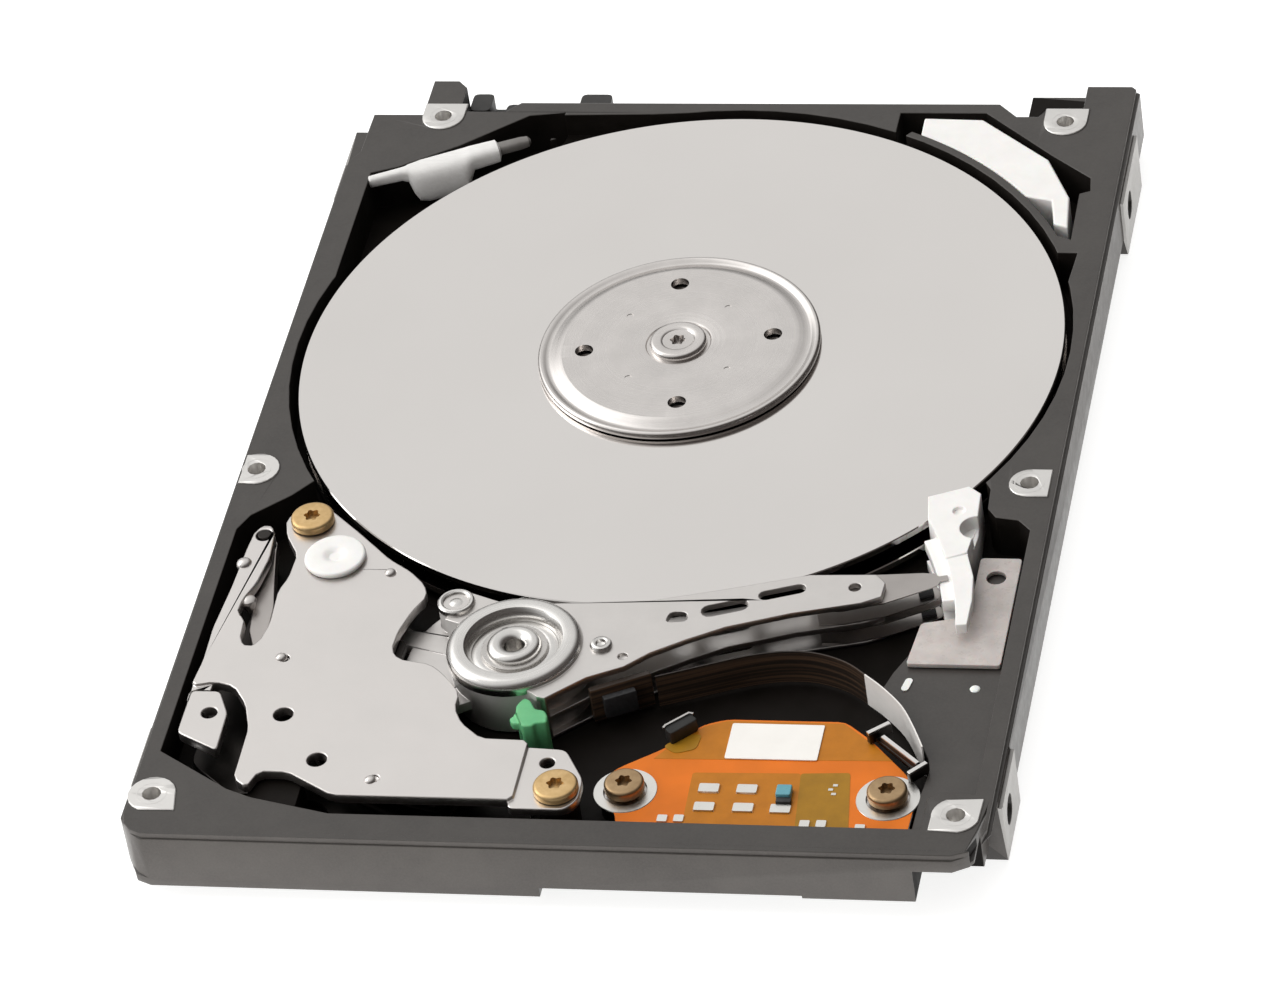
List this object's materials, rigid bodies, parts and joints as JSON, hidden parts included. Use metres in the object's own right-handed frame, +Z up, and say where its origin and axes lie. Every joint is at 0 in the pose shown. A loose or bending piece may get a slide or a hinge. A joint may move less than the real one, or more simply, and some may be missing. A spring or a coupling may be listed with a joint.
{
  "type": "hard disk drive",
  "caption": "Open 2.5-inch hard disk drive with stacked platters on a spindle, a parked head arm, voice coil motor, parking ramp, filters, flex circuit and circuit board.",
  "frame": {"origin": "centre of the drive's footprint, on the plane of the four lugs it rests on", "axes": "+X to the right, +Y towards the connector end, +Z up out of the open side, where the cover goes"},
  "size_m": [0.0698, 0.1, 0.0079],
  "materials": {
    "casting": "dark grey coated die casting",
    "machined_aluminium": "turned and milled",
    "disk": "polished recording disk",
    "nickel": "nickel-plated steel",
    "steel": "stainless steel",
    "brown_steel": "brown passivated screw steel",
    "copper": "enamelled copper winding",
    "white_plastic": "moulded white plastic",
    "black_plastic": "moulded black plastic",
    "green_plastic": "green elastomer stop",
    "board": "solder-masked circuit board",
    "polyimide": "orange polyimide flex circuit"
  },
  "bodies": {
    "chassis": {"base_casting": "casting", "circuit_board": "board", "controller_chip": "black_plastic", "motor_driver_chip": "black_plastic", "board_screw_1": "steel", "board_screw_2": "steel", "board_screw_3": "steel", "board_screw_4": "steel", "sata_connector": "black_plastic", "head_connector": "black_plastic", "spindle_sleeve": "machined_aluminium", "motor_stator": "copper", "pivot_shaft": "steel", "lower_pivot_bearing": "steel", "upper_pivot_bearing": "steel", "top_yoke": "nickel", "bottom_yoke": "nickel", "top_magnet": "nickel", "bottom_magnet": "nickel", "yoke_screw_1": "brown_steel", "yoke_screw_2": "brown_steel", "outer_crash_stop": "white_plastic", "inner_crash_stop": "green_plastic", "latch_pin": "steel", "parking_ramp": "white_plastic", "ramp_bracket": "white_plastic", "recirculation_filter": "white_plastic", "desiccant_cartridge": "white_plastic", "flex_bracket": "nickel", "flex_board": "polyimide", "flex_screw_1": "brown_steel", "flex_screw_2": "brown_steel", "board_label": "white_plastic", "flex_keeper": "black_plastic", "flex_clip": "nickel", "flex_loop": "polyimide"},
    "spindle": {"spindle_hub": "machined_aluminium", "spindle_shaft": "steel", "rotor_magnet": "black_plastic", "lower_platter": "disk", "platter_spacer": "machined_aluminium", "upper_platter": "disk", "disk_clamp": "machined_aluminium", "clamp_screw": "steel"},
    "actuator": {"actuator_arm": "machined_aluminium", "pivot_sleeve": "steel", "voice_coil": "copper", "coil_bobbin": "black_plastic", "load_beam_1": "steel", "load_beam_2": "steel", "load_beam_3": "steel", "load_beam_4": "steel", "head_slider_1": "black_plastic", "head_slider_2": "black_plastic", "head_slider_3": "black_plastic", "head_slider_4": "black_plastic", "arm_flex_stiffener": "polyimide", "preamp_chip": "black_plastic"},
    "latch": {"latch_lever": "steel"}
  },
  "joints": [
    {"name": "spindle_spin", "type": "hinge", "parent": "chassis", "child": "spindle", "pos_m": [0, 0.0115, 0.0045], "axis": [0, 0, 1], "continuous": true},
    {"name": "actuator_swing", "type": "hinge", "parent": "chassis", "child": "actuator", "pos_m": [-0.0065, -0.0276, 0.005], "axis": [0, 0, 1], "range_deg": [0, 42]},
    {"name": "latch_swing", "type": "hinge", "parent": "chassis", "child": "latch", "pos_m": [-0.0302, -0.0144, 0.005], "axis": [0, 0, 1], "range_deg": [-2, 6]}
  ]
}
